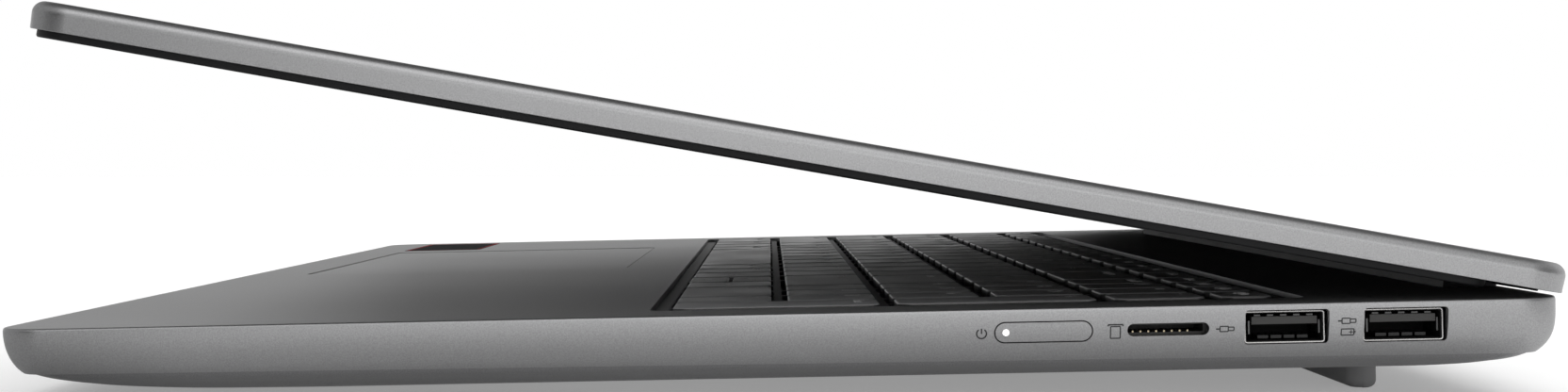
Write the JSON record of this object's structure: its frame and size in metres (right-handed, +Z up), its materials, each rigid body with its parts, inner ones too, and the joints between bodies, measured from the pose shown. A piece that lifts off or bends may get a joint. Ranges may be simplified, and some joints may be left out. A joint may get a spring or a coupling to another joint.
{
  "type": "laptop computer",
  "caption": "Slim metal laptop with a hinged display lid, keyboard with number pad, large touchpad, side ports and a cooling fan.",
  "frame": {"origin": "centre of the bounding box on the table that the feet stand on, lid open as drawn", "axes": "+X to the user's right along the front edge, +Y from the front edge towards the hinge, +Z up"},
  "size_m": [0.357, 0.2522, 0.0645],
  "materials": {
    "case_metal": "fine bead-blasted, anodised mid grey",
    "cover_metal": "bead-blasted grey",
    "foot_rubber": "matt",
    "rear_foot_rubber": "matt grey",
    "screw_steel": "satin",
    "key_frame": "satin dark grey",
    "key_plate": "satin",
    "dome_rubber": "matt",
    "touch_surface": "satin grey, painted glass",
    "battery_wrap": "pouch cells in aluminium laminate, black film",
    "circuit_board": "solder mask",
    "copper": "bare copper",
    "fan_plastic": "black",
    "shield_can": "tinned",
    "speaker_plastic": "black",
    "connector_shell": "nickel",
    "connector_tongue": "dark grey",
    "connector_plastic": "black",
    "button_metal": "bead-blasted",
    "led_lens": "white light guide",
    "hinge_steel": "machined",
    "sticker_film": "gloss black film",
    "lid_metal": "fine bead-blasted, anodised",
    "display_glass": "anti-glare black display",
    "bezel_plastic": "fine matt black",
    "gasket_rubber": "matt black",
    "hinge_plastic": "satin black",
    "camera_glass": "dark lens",
    "shutter_plastic": "matt",
    "cable_film": "black film",
    "key_caps": "fine matt dark grey"
  },
  "bodies": {
    "base": {"top_case": "case_metal", "bottom_cover": "cover_metal", "front_feet": "foot_rubber", "rear_foot": "rear_foot_rubber", "cover_screws": "screw_steel", "keyboard_frame": "key_frame", "keyboard_plate": "key_plate", "key_domes": "dome_rubber", "battery_pack": "battery_wrap", "motherboard": "circuit_board", "heat_pipe": "copper", "heatsink_fins": "copper", "fan_housing": "fan_plastic", "ssd_module": "circuit_board", "wifi_module": "shield_can", "speakers": "speaker_plastic", "usb_a_shells": "connector_shell", "usb_a_tongues": "connector_tongue", "card_slot": "connector_tongue", "usb_c_shells": "connector_shell", "hdmi_shell": "connector_shell", "audio_jack": "connector_plastic", "hinge_brackets": "hinge_steel", "hinge_pins": "hinge_steel", "palm_sticker": "sticker_film"},
    "lid": {"lid_cover": "lid_metal", "display_panel": "display_glass", "display_bezel": "bezel_plastic", "bezel_gasket": "gasket_rubber", "hinge_cover": "hinge_plastic", "hinge_arms": "hinge_steel", "camera_module": "camera_glass", "display_cable": "cable_film"},
    "touchpad": {"touchpad": "touch_surface"},
    "power_button": {"power_button": "button_metal", "power_led": "led_lens"},
    "fan_rotor": {"fan_rotor": "fan_plastic"},
    "camera_shutter": {"camera_shutter": "shutter_plastic"},
    "function_keys": {"function_keys": "key_caps"},
    "number_keys": {"number_keys": "key_caps"},
    "backspace_key": {"backspace_key": "key_caps"},
    "tab_key": {"tab_key": "key_caps"},
    "upper_letter_keys": {"upper_letter_keys": "key_caps"},
    "caps_lock_key": {"caps_lock_key": "key_caps"},
    "home_letter_keys": {"home_letter_keys": "key_caps"},
    "enter_key": {"enter_key": "key_caps"},
    "left_shift_key": {"left_shift_key": "key_caps"},
    "lower_letter_keys": {"lower_letter_keys": "key_caps"},
    "right_shift_key": {"right_shift_key": "key_caps"},
    "modifier_keys": {"modifier_keys": "key_caps"},
    "space_bar": {"space_bar": "key_caps"},
    "left_arrow_key": {"left_arrow_key": "key_caps"},
    "up_arrow_key": {"up_arrow_key": "key_caps"},
    "down_arrow_key": {"down_arrow_key": "key_caps"},
    "right_arrow_key": {"right_arrow_key": "key_caps"},
    "numpad_keys": {"numpad_keys": "key_caps"},
    "numpad_plus_key": {"numpad_plus_key": "key_caps"},
    "numpad_enter_key": {"numpad_enter_key": "key_caps"}
  },
  "joints": [
    {"name": "lid_hinge", "type": "hinge", "parent": "base", "child": "lid", "pos_m": [0, 0.1193, 0.01248], "axis": [-1, 0, 0], "range_deg": [-10.97, 164]},
    {"name": "touchpad_click", "type": "hinge", "parent": "base", "child": "touchpad", "pos_m": [-0.0462, -0.03738, 0.01229], "axis": [1, 0, 0], "range_deg": [0, 0.3], "stiffness_Nm_per_rad": 25, "springref_deg": -0.11},
    {"name": "power_press", "type": "slide", "parent": "base", "child": "power_button", "axis": [-1, 0, 0], "range_m": [0, 0.0004], "stiffness_N_per_m": 1500, "springref_m": -0.0001},
    {"name": "fan_spin", "type": "hinge", "parent": "base", "child": "fan_rotor", "pos_m": [-0.092, 0.05808, 0.00587], "axis": [0, -0.0208, 0.9998], "continuous": true},
    {"name": "camera_shutter_slide", "type": "slide", "parent": "lid", "child": "camera_shutter", "axis": [-1, 0, 0], "range_m": [0, 0.0064]},
    {"name": "function_keys_press", "type": "slide", "parent": "base", "child": "function_keys", "axis": [0, 0.0208, -0.9998], "range_m": [0, 0.0013], "stiffness_N_per_m": 8000, "springref_m": -0.0004},
    {"name": "number_keys_press", "type": "slide", "parent": "base", "child": "number_keys", "axis": [0, 0.0208, -0.9998], "range_m": [0, 0.0013], "stiffness_N_per_m": 6500, "springref_m": -0.0004},
    {"name": "backspace_press", "type": "slide", "parent": "base", "child": "backspace_key", "axis": [0, 0.0208, -0.9998], "range_m": [0, 0.0013], "stiffness_N_per_m": 500, "springref_m": -0.0004},
    {"name": "tab_press", "type": "slide", "parent": "base", "child": "tab_key", "axis": [0, 0.0208, -0.9998], "range_m": [0, 0.0013], "stiffness_N_per_m": 500, "springref_m": -0.0004},
    {"name": "upper_letters_press", "type": "slide", "parent": "base", "child": "upper_letter_keys", "axis": [0, 0.0208, -0.9998], "range_m": [0, 0.0013], "stiffness_N_per_m": 6500, "springref_m": -0.0004},
    {"name": "caps_lock_press", "type": "slide", "parent": "base", "child": "caps_lock_key", "axis": [0, 0.0208, -0.9998], "range_m": [0, 0.0013], "stiffness_N_per_m": 500, "springref_m": -0.0004},
    {"name": "home_letters_press", "type": "slide", "parent": "base", "child": "home_letter_keys", "axis": [0, 0.0208, -0.9998], "range_m": [0, 0.0013], "stiffness_N_per_m": 5500, "springref_m": -0.0004},
    {"name": "enter_press", "type": "slide", "parent": "base", "child": "enter_key", "axis": [0, 0.0208, -0.9998], "range_m": [0, 0.0013], "stiffness_N_per_m": 500, "springref_m": -0.0004},
    {"name": "left_shift_press", "type": "slide", "parent": "base", "child": "left_shift_key", "axis": [0, 0.0208, -0.9998], "range_m": [0, 0.0013], "stiffness_N_per_m": 500, "springref_m": -0.0004},
    {"name": "lower_letters_press", "type": "slide", "parent": "base", "child": "lower_letter_keys", "axis": [0, 0.0208, -0.9998], "range_m": [0, 0.0013], "stiffness_N_per_m": 5000, "springref_m": -0.0004},
    {"name": "right_shift_press", "type": "slide", "parent": "base", "child": "right_shift_key", "axis": [0, 0.0208, -0.9998], "range_m": [0, 0.0013], "stiffness_N_per_m": 500, "springref_m": -0.0004},
    {"name": "modifiers_press", "type": "slide", "parent": "base", "child": "modifier_keys", "axis": [0, 0.0208, -0.9998], "range_m": [0, 0.0013], "stiffness_N_per_m": 3000, "springref_m": -0.0004},
    {"name": "space_bar_press", "type": "slide", "parent": "base", "child": "space_bar", "axis": [0, 0.0208, -0.9998], "range_m": [0, 0.0013], "stiffness_N_per_m": 500, "springref_m": -0.0004},
    {"name": "left_arrow_press", "type": "slide", "parent": "base", "child": "left_arrow_key", "axis": [0, 0.0208, -0.9998], "range_m": [0, 0.0013], "stiffness_N_per_m": 500, "springref_m": -0.0004},
    {"name": "up_arrow_press", "type": "slide", "parent": "base", "child": "up_arrow_key", "axis": [0, 0.0208, -0.9998], "range_m": [0, 0.0013], "stiffness_N_per_m": 500, "springref_m": -0.0004},
    {"name": "down_arrow_press", "type": "slide", "parent": "base", "child": "down_arrow_key", "axis": [0, 0.0208, -0.9998], "range_m": [0, 0.0013], "stiffness_N_per_m": 500, "springref_m": -0.0004},
    {"name": "right_arrow_press", "type": "slide", "parent": "base", "child": "right_arrow_key", "axis": [0, 0.0208, -0.9998], "range_m": [0, 0.0013], "stiffness_N_per_m": 500, "springref_m": -0.0004},
    {"name": "numpad_press", "type": "slide", "parent": "base", "child": "numpad_keys", "axis": [0, 0.0208, -0.9998], "range_m": [0, 0.0013], "stiffness_N_per_m": 9500, "springref_m": -0.0004},
    {"name": "numpad_plus_press", "type": "slide", "parent": "base", "child": "numpad_plus_key", "axis": [0, 0.0208, -0.9998], "range_m": [0, 0.0013], "stiffness_N_per_m": 500, "springref_m": -0.0004},
    {"name": "numpad_enter_press", "type": "slide", "parent": "base", "child": "numpad_enter_key", "axis": [0, 0.0208, -0.9998], "range_m": [0, 0.0013], "stiffness_N_per_m": 500, "springref_m": -0.0004}
  ]
}
